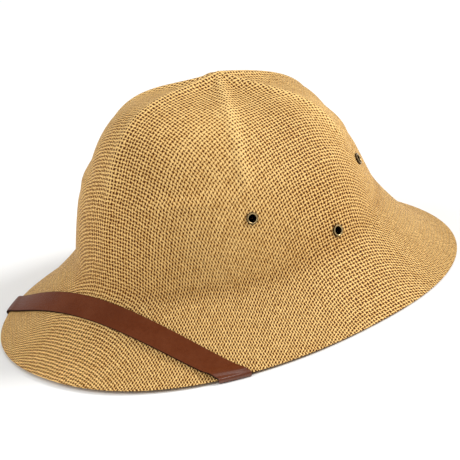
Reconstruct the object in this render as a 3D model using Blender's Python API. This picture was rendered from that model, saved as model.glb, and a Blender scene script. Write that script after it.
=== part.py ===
"""Pith helmet: a woven straw shell, six eyelets and a leather strap over the front brim.

Metres, +Z up. The hat faces -Y and the wearer's left is +X. Every form is worked out in the hat's
own frame, where the rim lies at height 0 under the crown's middle. The last step leans the whole
hat back until it stands on the strap's two folds and on the back of its rim, with the origin under
the middle of its bounding box.
"""
import math
from functools import lru_cache

import bmesh
import bpy
from mathutils import Matrix, Vector

# Brim, seen from above: half lengths from the crown's middle to the rim
BRIM_FRONT = 0.1805
BRIM_BACK = 0.1355
BRIM_SIDE = 0.1375
BRIM_SQUARENESS = 2.22

# Crown's foot, where it meets the brim
FOOT_FRONT = 0.120
FOOT_BACK = 0.090
FOOT_SIDE = 0.099
FOOT_SQUARENESS = 2.0
FOOT_HEIGHT = 0.0450
FOOT_DROP_FRONT = 0.0079
FOOT_DROP_SIDE = 0.0035
COVE_LENGTH = 0.007

# How far the brim sags below a straight slope from the crown's foot to the rim, at mid width
BRIM_SAG = {"front": 0.0025, "side": 0.0040, "back": 0.0100}

# Crown's top and the moulding round its side
APEX_HEIGHT = 0.1453
APEX_BACK = 0.0032
WALL = 0.0020
RING_LOWER = 0.0785
RING_UPPER = 0.0950
RING_GROOVE = 0.0007
PANEL_FADE = 0.014

# Raised ridges that run down from the apex, and the dished panels between them
RIDGE_ANGLES = (0.0, 56.0, 124.0, 180.0, 236.0, 304.0)
RIDGE_HEIGHT = 0.0014
RIDGE_HALF_WIDTH = 0.0055
PANEL_DISH = 0.0020
DISH_START = 0.030
FRONT_RIB_HEIGHT = 0.0007

# Crown's profile as a cubic curve: pitch at the apex in degrees, its handle as a share of the
# foot's radius, the side's handle as a share of the crown's height, and the side's lean
CROWN_PROFILE = {
    "front": {"pitch": 3.0, "top_handle": 0.48, "side_handle": 1.23, "lean": 0.155},
    "side": {"pitch": 23.5, "top_handle": 0.43, "side_handle": 1.03, "lean": 0.22},
    "back": {"pitch": 17.5, "top_handle": 1.07, "side_handle": 0.55, "lean": 0.365},
}

# Eyelets on each side: angle from the front in degrees and height of the centre
EYELETS = (
    {"name": "front", "angle": 55.6, "height": 0.0775},
    {"name": "middle", "angle": 90.0, "height": 0.0510},
    {"name": "back", "angle": 124.4, "height": 0.0775},
)
EYELET_FLANGE_RADIUS = 0.0040
EYELET_BARREL_RADIUS = 0.0031
EYELET_BORE_RADIUS = 0.0026
EYELET_FLANGE = 0.0009
EYELET_GAP = 0.0004
EYELET_HOLE_RADIUS = EYELET_BARREL_RADIUS + EYELET_GAP
EYELET_SEGMENTS = 20

# Strap across the front brim, folded under the rim on both sides
STRAP_WIDTH = 0.0160
STRAP_THICKNESS = 0.0015
STRAP_GAP = 0.00035
STRAP_MIDDLE_SHARE = 0.20
STRAP_END_ANGLE = 43.8
STRAP_TAIL = 0.018
STRAP_DROP = STRAP_GAP + STRAP_THICKNESS

# Mesh density
PANEL_SHARES = (0.0, 0.045, 0.11, 0.19, 0.29, 0.395, 0.5, 0.605, 0.71, 0.81, 0.89, 0.955)
CROWN_RINGS = 15
COVE_RINGS = 3
BRIM_RINGS = 4
STRAP_STATIONS = 22
STRAP_LANES = 5
FOLD_STEPS = 4
TAIL_STEPS = 4
SMOOTH_ANGLE = math.radians(40.0)
PROBE = 0.0004


def smooth_step(value, low, high):
    """Ease from 0 below low to 1 above high."""
    share = min(max((value - low) / (high - low), 0.0), 1.0)
    return share * share * (3.0 - 2.0 * share)


def oval_radius(theta, front, back, side, squareness):
    """Radius of an oval with its own front and back half lengths, at an angle from the front."""
    length = front if math.cos(theta) >= 0.0 else back
    along = abs(math.cos(theta) / length) ** squareness
    across = abs(math.sin(theta) / side) ** squareness
    return (along + across) ** (-1.0 / squareness)


def rim_radius(theta):
    """Radius of the brim's edge."""
    return oval_radius(theta, BRIM_FRONT, BRIM_BACK, BRIM_SIDE, BRIM_SQUARENESS)


def foot_radius(theta):
    """Radius of the crown's foot."""
    return oval_radius(theta, FOOT_FRONT, FOOT_BACK, FOOT_SIDE, FOOT_SQUARENESS)


def foot_height(theta):
    """Height of the crown's foot: lower at the front and the sides, higher at the back."""
    front_drop = FOOT_DROP_FRONT * math.cos(theta)
    side_drop = FOOT_DROP_SIDE * math.sin(theta) ** 2
    return FOOT_HEIGHT - front_drop - side_drop


def blended(theta, front, side, back):
    """A value given for the front, the sides and the back, blended round the hat."""
    cosine = math.cos(theta)
    end = front if cosine >= 0.0 else back
    return side + (end - side) * cosine * cosine


def profile_value(theta, column):
    """One column of the crown's profile table at an angle from the front."""
    return blended(theta, *(CROWN_PROFILE[key][column] for key in ("front", "side", "back")))


def crown_handles(theta):
    """The four control points (radius, height) of the crown's profile, apex first."""
    foot = Vector((foot_radius(theta), foot_height(theta)))
    rise = APEX_HEIGHT - foot.y
    reach = profile_value(theta, "top_handle") * foot.x
    pitch = math.radians(profile_value(theta, "pitch"))
    apex = Vector((0.0, APEX_HEIGHT))
    shoulder = Vector((reach, APEX_HEIGHT - math.tan(pitch) * reach))
    climb = profile_value(theta, "side_handle") * rise
    side = Vector((foot.x - profile_value(theta, "lean") * climb, foot.y + climb))
    return apex, shoulder, side, foot


def crown_point(theta, step):
    """Point (radius, height) of the plain crown, step 0 at the apex and 1 at the foot."""
    apex, shoulder, side, foot = crown_handles(theta)
    rest = 1.0 - step
    upper = rest ** 3 * apex + 3.0 * step * rest ** 2 * shoulder
    return upper + 3.0 * step ** 2 * rest * side + step ** 3 * foot


def cove_start(theta):
    """Step of the crown's curve where the cove into the brim begins."""
    _, _, side, foot = crown_handles(theta)
    return 1.0 - COVE_LENGTH / (3.0 * (foot - side).length)


def brim_point(theta, share):
    """Point (radius, height) of the brim, share 0 at the crown's foot and 1 at the rim."""
    inner = foot_radius(theta)
    radius = inner + (rim_radius(theta) - inner) * share
    sag = blended(theta, BRIM_SAG["front"], BRIM_SAG["side"], BRIM_SAG["back"])
    height = foot_height(theta) * (1.0 - share) - 4.0 * sag * share * (1.0 - share)
    return Vector((radius, height))


def cove_end(theta):
    """Share of the brim where the cove ends."""
    slant = math.hypot(rim_radius(theta) - foot_radius(theta), foot_height(theta))
    return COVE_LENGTH / slant


def cove_point(theta, share):
    """Point (radius, height) of the rounded corner between crown and brim."""
    start = crown_point(theta, cove_start(theta))
    end = brim_point(theta, cove_end(theta))
    corner = Vector((foot_radius(theta), foot_height(theta)))
    rest = 1.0 - share
    return rest * rest * start + 2.0 * share * rest * corner + share * share * end


@lru_cache(maxsize=None)
def shell_profile(theta):
    """All stations (radius, height) of the plain shell on one meridian, apex first."""
    start = cove_start(theta)
    end = cove_end(theta)
    stations = [crown_point(theta, start * i / CROWN_RINGS) for i in range(CROWN_RINGS)]
    stations += [cove_point(theta, i / COVE_RINGS) for i in range(COVE_RINGS)]
    stations += [brim_point(theta, end + (1.0 - end) * i / BRIM_RINGS) for i in range(BRIM_RINGS + 1)]
    return tuple(stations)


def angle_between(theta, degrees):
    """Angle in radians from a named direction, the short way round."""
    turn = math.tau
    return abs((theta - math.radians(degrees) + math.pi) % turn - math.pi)


def ridge_crest(theta, radius, degrees):
    """How much of a ridge's crest a point carries: 1 on the crest, 0 well beside it."""
    offset = radius * angle_between(theta, degrees)
    return math.exp(-(offset / RIDGE_HALF_WIDTH) ** 2)


def panel_share(theta):
    """How far a direction lies into its panel: 0 on a ridge, 1 in the panel's middle."""
    degrees = math.degrees(theta) % 360.0
    edges = RIDGE_ANGLES + (360.0,)
    for low, high in zip(edges, edges[1:]):
        if low <= degrees <= high:
            return math.sin(math.pi * (degrees - low) / (high - low)) ** 2
    return 0.0


def relief(theta, radius, height):
    """Depth of the moulding below the plain crown, negative where it stands proud."""
    upper = smooth_step(height, RING_UPPER, RING_UPPER + PANEL_FADE)
    crest = max(ridge_crest(theta, radius, degrees) for degrees in RIDGE_ANGLES)
    dish = PANEL_DISH * panel_share(theta) * smooth_step(radius, 0.0, DISH_START)
    depth = upper * (dish + RIDGE_HEIGHT * (1.0 - crest))
    middle = 0.5 * (RING_LOWER + RING_UPPER)
    rise = smooth_step(height, RING_LOWER, middle)
    fall = smooth_step(height, middle, RING_UPPER)
    depth += RING_GROOVE * (rise - fall)
    lower = foot_height(theta) + COVE_LENGTH
    rib = smooth_step(height, lower, lower + PANEL_FADE) * (1.0 - upper)
    return depth - FRONT_RIB_HEIGHT * rib * ridge_crest(theta, radius, RIDGE_ANGLES[0])


def placed(theta, flat, shift):
    """Point in space for a station (radius, height), with the apex's own set-back."""
    set_back = APEX_BACK * shift
    return Vector((flat.x * math.sin(theta), set_back - flat.x * math.cos(theta), flat.y))


@lru_cache(maxsize=None)
def outer_station(theta, index):
    """Point of the outer surface for one ring of one meridian, moulding included."""
    stations = shell_profile(theta)
    here = stations[index]
    shift = max(0.0, 1.0 - index / CROWN_RINGS) ** 2
    if index == 0 or index > CROWN_RINGS:
        return placed(theta, here, shift)
    along = (stations[index + 1] - stations[index - 1]).normalized()
    normal = Vector((-along.y, along.x))
    return placed(theta, here - normal * relief(theta, here.x, here.y), shift)


def outer_normal(theta, index):
    """Outward normal of the outer surface at one ring of one meridian."""
    last = CROWN_RINGS + COVE_RINGS + BRIM_RINGS
    before = outer_station(theta, max(index - 1, 0))
    after = outer_station(theta, min(index + 1, last))
    turn = math.radians(1.0)
    right = outer_station(theta + turn, index)
    left = outer_station(theta - turn, index)
    return (after - before).cross(right - left).normalized()


def meridian_angles():
    """Directions of the shell's meridians, closer together beside each ridge."""
    edges = RIDGE_ANGLES + (360.0,)
    angles = []
    for low, high in zip(edges, edges[1:]):
        angles += [math.radians(low + (high - low) * share) for share in PANEL_SHARES]
    return angles


def rim_inset(normal):
    """Level width of the rim's flat underside for a wall with this normal."""
    return WALL / math.hypot(normal.x, normal.y)


def shell_loops():
    """Rings of the outer surface from the apex to the rim, then of the inner one back up."""
    last = CROWN_RINGS + COVE_RINGS + BRIM_RINGS
    angles = meridian_angles()
    outer = []
    inner = []
    for index in range(1, last + 1):
        ring = [outer_station(theta, index) for theta in angles]
        normals = [outer_normal(theta, index) for theta in angles]
        outer.append(ring)
        if index < last:
            inner.append([point - normal * WALL for point, normal in zip(ring, normals)])
            continue
        inner.append([level_inset(point, normal) for point, normal in zip(ring, normals)])
    return outer + inner[::-1]


def level_inset(point, normal):
    """Inner edge of the rim's flat underside, level with its outer edge."""
    flat = Vector((normal.x, normal.y, 0.0)).normalized()
    return point - flat * rim_inset(normal)


def skin(mesh, loops, closed):
    """Make quads between each loop of points and the next, and return the loops of vertices."""
    rows = [[mesh.verts.new(point) for point in loop] for loop in loops]
    count = len(rows[0])
    spans = count if closed else count - 1
    for lower, upper in zip(rows, rows[1:]):
        for i in range(spans):
            j = (i + 1) % count
            mesh.faces.new((lower[i], lower[j], upper[j], upper[i]))
    return rows


def fan(mesh, row, tip):
    """Close a ring of vertices with triangles to one point."""
    point = mesh.verts.new(tip)
    for i, vertex in enumerate(row):
        mesh.faces.new((vertex, row[(i + 1) % len(row)], point))


def material(name, colour, roughness, metallic):
    """A plain Principled material."""
    made = bpy.data.materials.new(name)
    made.use_nodes = True
    shader = made.node_tree.nodes["Principled BSDF"]
    shader.inputs["Base Color"].default_value = (*colour, 1.0)
    shader.inputs["Roughness"].default_value = roughness
    shader.inputs["Metallic"].default_value = metallic
    return made


def finished(mesh, name, surface):
    """Turn a bmesh into a named object with outward, smoothly shaded faces."""
    bmesh.ops.recalc_face_normals(mesh, faces=mesh.faces)
    for face in mesh.faces:
        face.smooth = True
    data = bpy.data.meshes.new(name)
    mesh.to_mesh(data)
    mesh.free()
    data.set_sharp_from_angle(angle=SMOOTH_ANGLE)
    data.materials.append(surface)
    item = bpy.data.objects.new(name, data)
    bpy.context.scene.collection.objects.link(item)
    return item


def build_shell(surface):
    """Crown and brim in one woven piece, open below."""
    mesh = bmesh.new()
    rows = skin(mesh, shell_loops(), closed=True)
    apex = placed(0.0, Vector((0.0, APEX_HEIGHT)), 1.0)
    fan(mesh, rows[0], apex)
    fan(mesh, rows[-1], apex - Vector((0.0, 0.0, WALL)))
    bmesh.ops.triangulate(mesh, faces=mesh.faces)
    return finished(mesh, "shell", surface)


def wall_point(theta, height):
    """Point and outward normal of the outer surface at a height on the crown's side."""
    low, high = 1, CROWN_RINGS
    stations = [outer_station(theta, index) for index in range(high + 1)]
    for index in range(low, high):
        if stations[index].z >= height >= stations[index + 1].z:
            drop = stations[index].z - stations[index + 1].z
            share = (stations[index].z - height) / drop
            point = stations[index].lerp(stations[index + 1], share)
            normal = outer_normal(theta, index).lerp(outer_normal(theta, index + 1), share)
            return point, normal.normalized()
    return stations[high], outer_normal(theta, high)


def eyelet_matrix(theta, height):
    """Placement of an eyelet: its own +Z points out of the wall from the outer surface.

    Half a segment's turn keeps the hole's corners off the shell's meridians.
    """
    point, normal = wall_point(theta, height)
    facing = normal.to_track_quat("Z", "Y").to_matrix().to_4x4()
    half_segment = Matrix.Rotation(math.pi / EYELET_SEGMENTS, 4, "Z")
    return Matrix.Translation(point) @ facing @ half_segment


def eyelet_outline():
    """Section (radius, depth) of an eyelet: outer flange, barrel and inner flange."""
    bore, barrel, flange = EYELET_BORE_RADIUS, EYELET_BARREL_RADIUS, EYELET_FLANGE_RADIUS
    top = EYELET_GAP + EYELET_FLANGE
    under = -WALL - EYELET_GAP
    crown_of_flange = 0.5 * (bore + flange)
    return (
        (bore, top - 0.5 * EYELET_FLANGE),
        (crown_of_flange, top),
        (flange, EYELET_GAP + 0.4 * EYELET_FLANGE),
        (flange, EYELET_GAP),
        (barrel, EYELET_GAP),
        (barrel, under),
        (flange, under),
        (flange, under - 0.5 * EYELET_FLANGE),
        (bore, under - 0.5 * EYELET_FLANGE),
    )


def ring_points(radius, height, segments):
    """Points of one circle round +Z."""
    turns = [math.tau * i / segments for i in range(segments)]
    return [Vector((radius * math.cos(turn), radius * math.sin(turn), height)) for turn in turns]


def build_eyelet(name, placement, surface):
    """One metal eyelet through the wall."""
    mesh = bmesh.new()
    outline = eyelet_outline()
    loops = [ring_points(radius, depth, EYELET_SEGMENTS) for radius, depth in outline]
    rows = skin(mesh, loops, closed=True)
    first, last = rows[0], rows[-1]
    for i in range(EYELET_SEGMENTS):
        j = (i + 1) % EYELET_SEGMENTS
        mesh.faces.new((last[i], last[j], first[j], first[i]))
    bmesh.ops.transform(mesh, matrix=placement, verts=mesh.verts)
    return finished(mesh, name, surface)


def build_eyelets(shell, surface):
    """All eyelets and their holes through the shell, mirrored to the wearer's right."""
    made = []
    punches = bmesh.new()
    for side, sign in (("left", 1.0), ("right", -1.0)):
        for row in EYELETS:
            placement = eyelet_matrix(sign * math.radians(row["angle"]), row["height"])
            made.append(build_eyelet(f"eyelet_{side}_{row['name']}", placement, surface))
            bmesh.ops.create_cone(
                punches, cap_ends=True, segments=EYELET_SEGMENTS, depth=6.0 * WALL,
                radius1=EYELET_HOLE_RADIUS, radius2=EYELET_HOLE_RADIUS, matrix=placement,
            )
    cutter = finished(punches, "eyelet_punches", surface)
    cutter.hide_render = True
    cutter.display_type = "WIRE"
    cut = shell.modifiers.new("eyelet_holes", "BOOLEAN")
    cut.operation = "DIFFERENCE"
    cut.solver = "EXACT"
    cut.object = cutter
    return made, cutter


def polar(point):
    """Angle from the front and radius of a point seen from above."""
    return math.atan2(point.x, -point.y), math.hypot(point.x, point.y)


def brim_surface(point):
    """Point of the brim's outer surface above or below a point of the plan."""
    theta, radius = polar(point)
    inner = foot_radius(theta)
    share = (radius - inner) / (rim_radius(theta) - inner)
    end = cove_end(theta)
    if share >= end:
        return Vector((point.x, point.y, brim_point(theta, share).y))
    low, high = 0.0, 1.0
    for _ in range(30):
        middle = 0.5 * (low + high)
        if cove_point(theta, middle).x < radius:
            low = middle
        else:
            high = middle
    return Vector((point.x, point.y, cove_point(theta, low).y))


def brim_normal(point):
    """Upward normal of the brim's outer surface at a point of the plan."""
    step_x = Vector((PROBE, 0.0, 0.0))
    step_y = Vector((0.0, PROBE, 0.0))
    across = brim_surface(point + step_x) - brim_surface(point - step_x)
    along = brim_surface(point + step_y) - brim_surface(point - step_y)
    return across.cross(along).normalized()


def strap_bend():
    """The strap's middle line from above, y = middle + bend * x * x, and its reach in x."""
    width = BRIM_FRONT - FOOT_FRONT
    middle = -(FOOT_FRONT + width * STRAP_MIDDLE_SHARE)
    end = math.radians(STRAP_END_ANGLE)
    reach = rim_radius(end) * math.sin(end)
    drop = -rim_radius(end) * math.cos(end) - middle
    return middle, drop / (reach * reach), reach


def lane_plan(x, offset):
    """Plan point of one lane of the strap, offset across the strap from its middle line."""
    middle, bend, reach = strap_bend()
    inside = max(-reach, min(reach, x))
    centre = Vector((inside, middle + bend * inside * inside, 0.0))
    tangent = Vector((1.0, 2.0 * bend * inside, 0.0))
    normal = brim_normal(centre)
    tangent.z = -(normal.x * tangent.x + normal.y * tangent.y) / normal.z
    across = normal.cross(tangent).normalized()
    point = Vector((x, middle + bend * x * x, 0.0)) + across * offset
    point.z = 0.0
    return point


def beyond_rim(point):
    """How far a plan point lies outside the rim."""
    theta, radius = polar(point)
    return radius - rim_radius(theta)


def lane_end(offset, sign):
    """The x at which one lane crosses the rim."""
    _, _, reach = strap_bend()
    inside, outside = 0.0, sign * 2.0 * reach
    for _ in range(40):
        middle = 0.5 * (inside + outside)
        if beyond_rim(lane_plan(middle, offset)) < 0.0:
            inside = middle
        else:
            outside = middle
    return inside


def turned(start, end, share):
    """Direction between two directions, by share of the angle."""
    return start.slerp(end, share) if start.angle(end) > 1e-6 else start.copy()


def fold_stations(offset, sign):
    """Stations (foot point, direction away from the shell) of one lane round the rim and under it.

    The strap crosses the rim at a slant, so its tail runs on along the rim as a folded strip does.
    """
    end_x = lane_end(offset, sign)
    edge = lane_plan(end_x, offset)
    heading = (edge - lane_plan(end_x * 0.98, offset)).normalized()
    slope = brim_normal(edge - heading * PROBE * 2.0)
    down = Vector((0.0, 0.0, -1.0))
    flat = Vector((slope.x, slope.y, 0.0)).normalized()
    under = heading - 2.0 * heading.dot(flat) * flat
    inner_edge = edge + under * (rim_inset(slope) / heading.dot(flat))
    stations = [(edge, turned(slope, down, i / FOLD_STEPS)) for i in range(FOLD_STEPS + 1)]
    stations += [(inner_edge, turned(down, -slope, i / FOLD_STEPS)) for i in range(FOLD_STEPS)]
    start = inner_edge + slope * WALL
    for i in range(TAIL_STEPS + 1):
        plan = start + under * (STRAP_TAIL * flat_share(slope, under) * i / TAIL_STEPS)
        normal = brim_normal(plan)
        stations.append((brim_surface(plan) - normal * WALL, -normal))
    return stations


def flat_share(slope, heading):
    """Level length of one unit laid along a slope in a heading."""
    climb = (slope.x * heading.x + slope.y * heading.y) / slope.z
    return 1.0 / math.hypot(1.0, climb)


def lane_stations(offset):
    """All stations of one lane, from the right tail over the brim to the left tail."""
    right = lane_end(offset, -1.0)
    left = lane_end(offset, 1.0)
    stations = fold_stations(offset, -1.0)[::-1]
    for i in range(1, STRAP_STATIONS):
        plan = lane_plan(right + (left - right) * i / STRAP_STATIONS, offset)
        stations.append((brim_surface(plan), brim_normal(plan)))
    return stations + fold_stations(offset, 1.0)


def build_strap(surface):
    """The leather strap, a flat strip that follows the brim and folds under both edges."""
    half = 0.5 * STRAP_WIDTH
    offsets = [half * (2.0 * i / (STRAP_LANES - 1) - 1.0) for i in range(STRAP_LANES)]
    lanes = [lane_stations(offset) for offset in offsets]
    near = [[foot + away * STRAP_GAP for foot, away in lane] for lane in lanes]
    far = [[foot + away * STRAP_DROP for foot, away in lane] for lane in lanes]
    sections = [list(row) for row in zip(*(near + far[::-1]))]
    mesh = bmesh.new()
    rows = skin(mesh, sections, closed=True)
    mesh.faces.new(rows[0])
    mesh.faces.new(rows[-1])
    ends = [face for face in mesh.faces if len(face.verts) > 4]
    bmesh.ops.triangulate(mesh, faces=ends)
    return finished(mesh, "strap", surface)


def stand(items, strap):
    """Lean the hat back onto the strap's folds, and put the origin under its middle."""
    lowest = min(vertex.co.z for vertex in strap.data.vertices)
    folds = [vertex.co.y for vertex in strap.data.vertices if vertex.co.z < lowest + PROBE]
    lean = -math.asin(STRAP_DROP / (BRIM_BACK - max(folds)))
    turn = Matrix.Rotation(lean, 4, "X")
    for item in items:
        item.data.transform(turn)
    points = [vertex.co for item in items for vertex in item.data.vertices]
    middle = [0.5 * (min(p[axis] for p in points) + max(p[axis] for p in points)) for axis in (0, 1)]
    floor = min(point.z for point in points)
    for item in items:
        item.data.transform(Matrix.Translation((-middle[0], -middle[1], -floor)))


def main():
    """Build every piece and stand the hat on the floor."""
    for item in list(bpy.data.objects):
        bpy.data.objects.remove(item)
    straw = material("woven straw", (0.60, 0.37, 0.13), 0.75, 0.0)
    brass = material("antique brass", (0.20, 0.12, 0.05), 0.38, 1.0)
    leather = material("brown leather", (0.13, 0.032, 0.013), 0.42, 0.0)
    shell = build_shell(straw)
    eyelets, cutter = build_eyelets(shell, brass)
    strap = build_strap(leather)
    stand([shell, strap, cutter] + eyelets, strap)


main()
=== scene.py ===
"""Looks of the pith helmet: woven straw shell, leather strap and brass eyelets.

Each form is worked out in the hat's own frame, where the rim lies at height 0 under the crown's
middle, the hat faces -Y and the wearer's left is +X. HelmetBlock.seat then leans it back as it
stands on the floor. Sizes are in metres. An angle theta runs from the front to the wearer's left.
"""

import itertools
import logging
import math
from collections.abc import Iterator
from dataclasses import dataclass
from enum import Enum

import bmesh
import bpy
import numpy as np
from bmesh.types import BMesh, BMVert
from bpy.types import Material, Node, NodeSocket, NodeTree, Object
from mathutils import Matrix, Vector


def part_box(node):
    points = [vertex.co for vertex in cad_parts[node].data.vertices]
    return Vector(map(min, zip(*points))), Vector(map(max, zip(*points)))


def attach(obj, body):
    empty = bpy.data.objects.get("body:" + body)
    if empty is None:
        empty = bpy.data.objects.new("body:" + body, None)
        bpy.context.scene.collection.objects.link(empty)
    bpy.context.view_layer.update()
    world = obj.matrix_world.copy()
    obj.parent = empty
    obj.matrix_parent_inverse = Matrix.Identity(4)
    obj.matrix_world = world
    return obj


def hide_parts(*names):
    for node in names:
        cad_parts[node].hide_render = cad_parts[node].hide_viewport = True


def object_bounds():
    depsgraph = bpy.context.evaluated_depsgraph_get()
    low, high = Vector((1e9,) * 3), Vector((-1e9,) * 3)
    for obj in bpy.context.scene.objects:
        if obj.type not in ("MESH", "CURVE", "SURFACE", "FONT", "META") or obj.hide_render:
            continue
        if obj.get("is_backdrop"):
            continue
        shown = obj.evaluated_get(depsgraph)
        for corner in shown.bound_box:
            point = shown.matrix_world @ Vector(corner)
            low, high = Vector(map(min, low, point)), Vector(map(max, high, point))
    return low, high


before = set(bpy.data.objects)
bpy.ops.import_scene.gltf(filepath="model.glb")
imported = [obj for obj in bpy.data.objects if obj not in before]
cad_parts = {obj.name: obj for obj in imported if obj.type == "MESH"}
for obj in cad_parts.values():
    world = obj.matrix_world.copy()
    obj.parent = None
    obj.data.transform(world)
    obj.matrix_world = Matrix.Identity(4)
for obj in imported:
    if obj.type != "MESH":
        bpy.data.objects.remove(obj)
CAD_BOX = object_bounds()
LOG = logging.getLogger("pith_helmet")
SHARP_ANGLE = 42.0
FULL_TURN = 360.0
Array = np.ndarray
Pair = tuple[float, float]
Triple = tuple[float, float, float]
Colour = tuple[float, float, float, float]
Feeds = dict[str | int, object]

# Places of the values that are given for front, side and back
FRONT, SIDE, BACK = 0, 1, 2

# Stations where crown, cove and brim end, and the rim and apex of the inner surface
FOOT, BRIM, RIM, INNER_RIM, INNER_APEX = 1.0, 2.0, 3.0, 4.0, 7.0


class Side(Enum):
    """Side of the wearer's head."""

    LEFT = 1.0
    RIGHT = -1.0


class Slot(Enum):
    """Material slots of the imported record."""

    STRAW = "woven_straw"
    LEATHER = "brown_leather"
    BRASS = "antique_brass"


def ease(value: Array, low: float, high: float) -> Array:
    """Ease from 0 below low to 1 above high.

    Args:
        value: Values to ease.
        low: Where the rise begins.
        high: Where the rise ends.

    Returns:
        Shares from 0 to 1.
    """
    share = np.clip((value - low) / (high - low), 0.0, 1.0)
    return share * share * (3.0 - 2.0 * share)


def unit(rows: Array) -> Array:
    """Rows of vectors brought to length 1."""
    return rows / np.linalg.norm(rows, axis=-1, keepdims=True)


@dataclass(frozen=True)
class HelmetBlock:
    """The wooden block that the helmet is pressed on: its sizes and surfaces.

    A meridian runs from the apex at station 0 over the crown to station 1, through the cove to
    station 2 and over the brim to the rim at station 3. Three values stand for front, side and
    back. The crown's curve starts at the pitch, in degrees, and ends with the lean.
    """

    brim: Triple = (0.1805, 0.1375, 0.1355)
    brim_squareness: float = 2.22
    foot: Triple = (0.120, 0.099, 0.090)
    foot_height: float = 0.0450
    foot_drop_front: float = 0.0079
    foot_drop_side: float = 0.0035
    cove: float = 0.007
    sag: Triple = (0.0025, 0.0040, 0.0100)
    apex_height: float = 0.1453
    apex_back: float = 0.0032
    wall: float = 0.0020
    ring_lower: float = 0.0785
    ring_upper: float = 0.0950
    ring_groove: float = 0.0007
    panel_fade: float = 0.014
    ridges: tuple[float, ...] = (0.0, 56.0, 124.0, 180.0, 236.0, 304.0)
    ridge_height: float = 0.0020
    ridge_half_width: float = 0.0044
    panel_dish: float = 0.0020
    dish_start: float = 0.030
    front_rib: float = 0.0007
    pitch: Triple = (3.0, 23.5, 17.5)
    top_handle: Triple = (0.48, 0.43, 1.07)
    side_handle: Triple = (1.23, 1.03, 0.55)
    lean: Triple = (0.155, 0.22, 0.365)
    stance: float = -0.449
    ring_blend: float = 0.005
    pole: float = 1e-4
    short_step: float = 0.004
    step: float = 0.01
    plan_step: float = 0.0004
    rim_angles: int = 361
    rim_search: Pair = (2.4, 3.0)
    halvings: int = 24

    def oval(self, theta: Array, half: Triple, power: float) -> Array:
        """Radius of an oval with its own front and back half lengths.

        Args:
            theta: Angles from the front.
            half: Half lengths at the front, side and back.
            power: 2 for an ellipse, more for a squarer oval.

        Returns:
            Radii at those angles.
        """
        length = np.where(np.cos(theta) >= 0.0, half[FRONT], half[BACK])
        along = np.abs(np.cos(theta) / length) ** power
        across = np.abs(np.sin(theta) / half[SIDE]) ** power
        return (along + across) ** (-1.0 / power)

    def blended(self, theta: Array, values: Triple) -> Array:
        """Values given for front, side and back, blended round the hat."""
        end = np.where(np.cos(theta) >= 0.0, values[FRONT], values[BACK])
        return values[SIDE] + (end - values[SIDE]) * np.cos(theta) ** 2

    def rim_radius(self, theta: Array) -> Array:
        """Radius of the brim's edge."""
        return self.oval(theta, self.brim, self.brim_squareness)

    def foot_point(self, theta: Array) -> Array:
        """Corners (radius, height) where the crown meets the brim."""
        drop = self.foot_drop_front * np.cos(theta) + self.foot_drop_side * np.sin(theta) ** 2
        return np.stack([self.oval(theta, self.foot, 2.0), self.foot_height - drop], axis=-1)

    def crown_point(self, theta: Array, step: Array) -> tuple[Array, Array]:
        """Plain crown without its moulding.

        Args:
            theta: Angles from the front.
            step: Share of the curve, 0 at the apex and 1 at the foot.

        Returns:
            The points (radius, height), and the length of the last handle.
        """
        foot = self.foot_point(theta)
        rise = self.apex_height - foot[..., 1]
        reach = self.blended(theta, self.top_handle) * foot[..., 0]
        slope = np.tan(np.radians(self.blended(theta, self.pitch)))
        climb = self.blended(theta, self.side_handle) * rise
        inward = self.blended(theta, self.lean) * climb
        apex = np.stack([np.zeros_like(rise), np.full_like(rise, self.apex_height)], axis=-1)
        shoulder = np.stack([reach, self.apex_height - slope * reach], axis=-1)
        side = np.stack([foot[..., 0] - inward, foot[..., 1] + climb], axis=-1)
        t = step[..., None]
        rest = 1.0 - t
        curve = rest**3 * apex + 3.0 * t * rest**2 * shoulder + 3.0 * t**2 * rest * side
        return curve + t**3 * foot, np.hypot(inward, climb)

    def brim_point(self, theta: Array, share: Array) -> Array:
        """Points (radius, height) of the brim, share 0 at the crown's foot and 1 at the rim."""
        foot = self.foot_point(theta)
        radius = foot[..., 0] + (self.rim_radius(theta) - foot[..., 0]) * share
        hollow = 4.0 * self.blended(theta, self.sag) * share * (1.0 - share)
        return np.stack([radius, foot[..., 1] * (1.0 - share) - hollow], axis=-1)

    def cove_limits(self, theta: Array) -> tuple[Array, Array]:
        """Where the cove leaves the crown's curve and where it joins the brim."""
        foot = self.foot_point(theta)
        _, handle = self.crown_point(theta, np.ones_like(theta))
        slant = np.hypot(self.rim_radius(theta) - foot[..., 0], foot[..., 1])
        return 1.0 - self.cove / (3.0 * handle), self.cove / slant

    def cove_point(self, theta: Array, share: Array) -> Array:
        """Points (radius, height) of the rounded corner between crown and brim."""
        start, end = self.cove_limits(theta)
        upper, _ = self.crown_point(theta, start)
        lower = self.brim_point(theta, end)
        t = share[..., None]
        corner = 2.0 * t * (1.0 - t) * self.foot_point(theta)
        return (1.0 - t) ** 2 * upper + corner + t * t * lower

    def plain(self, theta: Array, station: Array) -> Array:
        """Points (radius, height) of the whole plain meridian.

        Args:
            theta: Angles from the front.
            station: 0 to 1 on the crown, 1 to 2 in the cove, 2 to 3 on the brim and on beyond it.

        Returns:
            The points.
        """
        start, end = self.cove_limits(theta)
        crown, _ = self.crown_point(theta, np.clip(station, 0.0, 1.0) * start)
        cove = self.cove_point(theta, np.clip(station - 1.0, 0.0, 1.0))
        brim = self.brim_point(theta, end + (1.0 - end) * np.maximum(station - 2.0, 0.0))
        lower = np.where((station < 2.0)[..., None], cove, brim)
        return np.where((station < 1.0)[..., None], crown, lower)

    def crest(self, theta: Array, radius: Array, degrees: float) -> Array:
        """How much of one ridge's crest each point carries."""
        turn = np.abs((theta - math.radians(degrees) + math.pi) % math.tau - math.pi)
        return np.exp(-((radius * turn / self.ridge_half_width) ** 2))

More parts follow.
